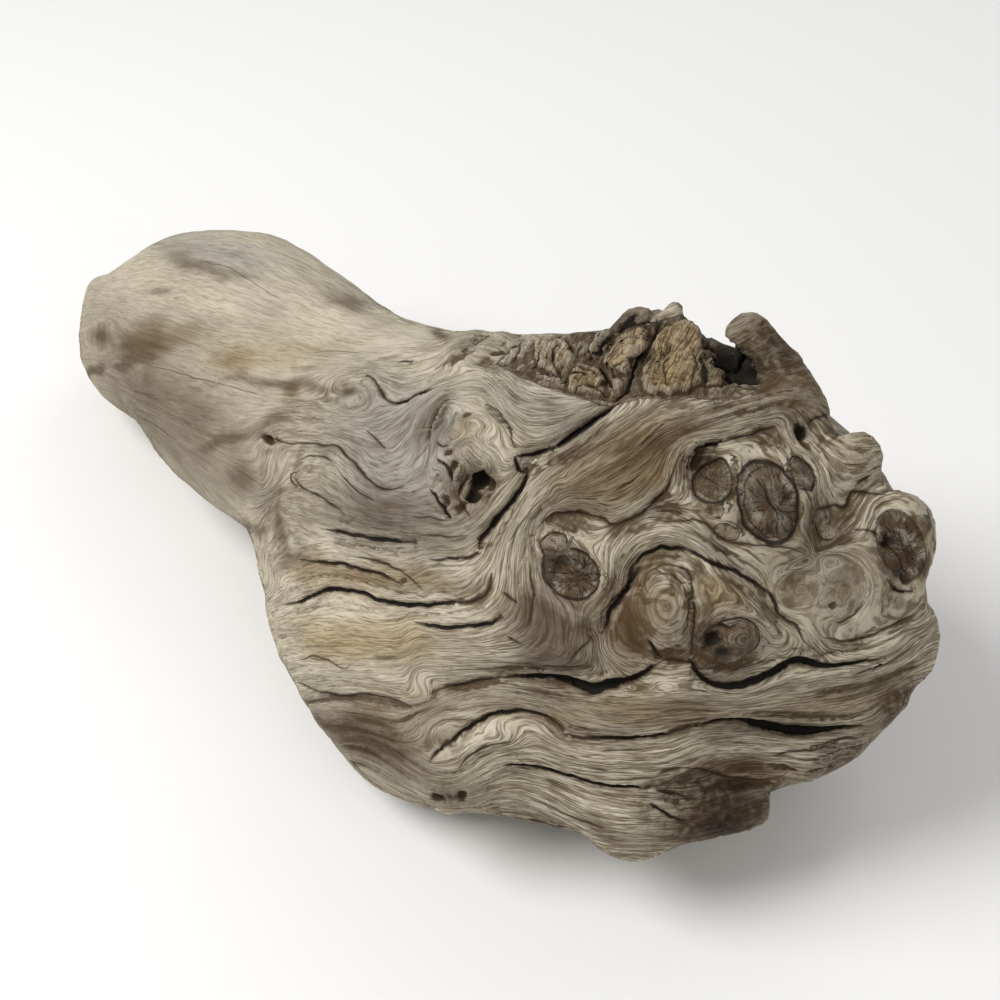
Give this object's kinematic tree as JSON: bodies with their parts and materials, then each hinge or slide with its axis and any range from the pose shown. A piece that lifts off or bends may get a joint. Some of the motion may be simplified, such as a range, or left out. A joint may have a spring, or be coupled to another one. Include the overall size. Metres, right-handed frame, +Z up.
{
  "type": "driftwood log",
  "caption": "weathered driftwood log with a slim rounded trunk end and a broad knotted burl end, cracked along the grain, with a broken crest",
  "frame": {"origin": "middle of the bounding box in plan, on the ground the log rests on", "axes": "+X runs along the log from the slim trunk end to the burl end, +Z is up as the log lies, and -Y faces the side with the lower edge of the knotted face"},
  "size_m": [0.4164, 0.1946, 0.1732],
  "materials": {
    "wood": "bare, weathered grey-brown, matte"
  },
  "bodies": {
    "root": {"driftwood_log": "wood"}
  },
  "joints": []
}
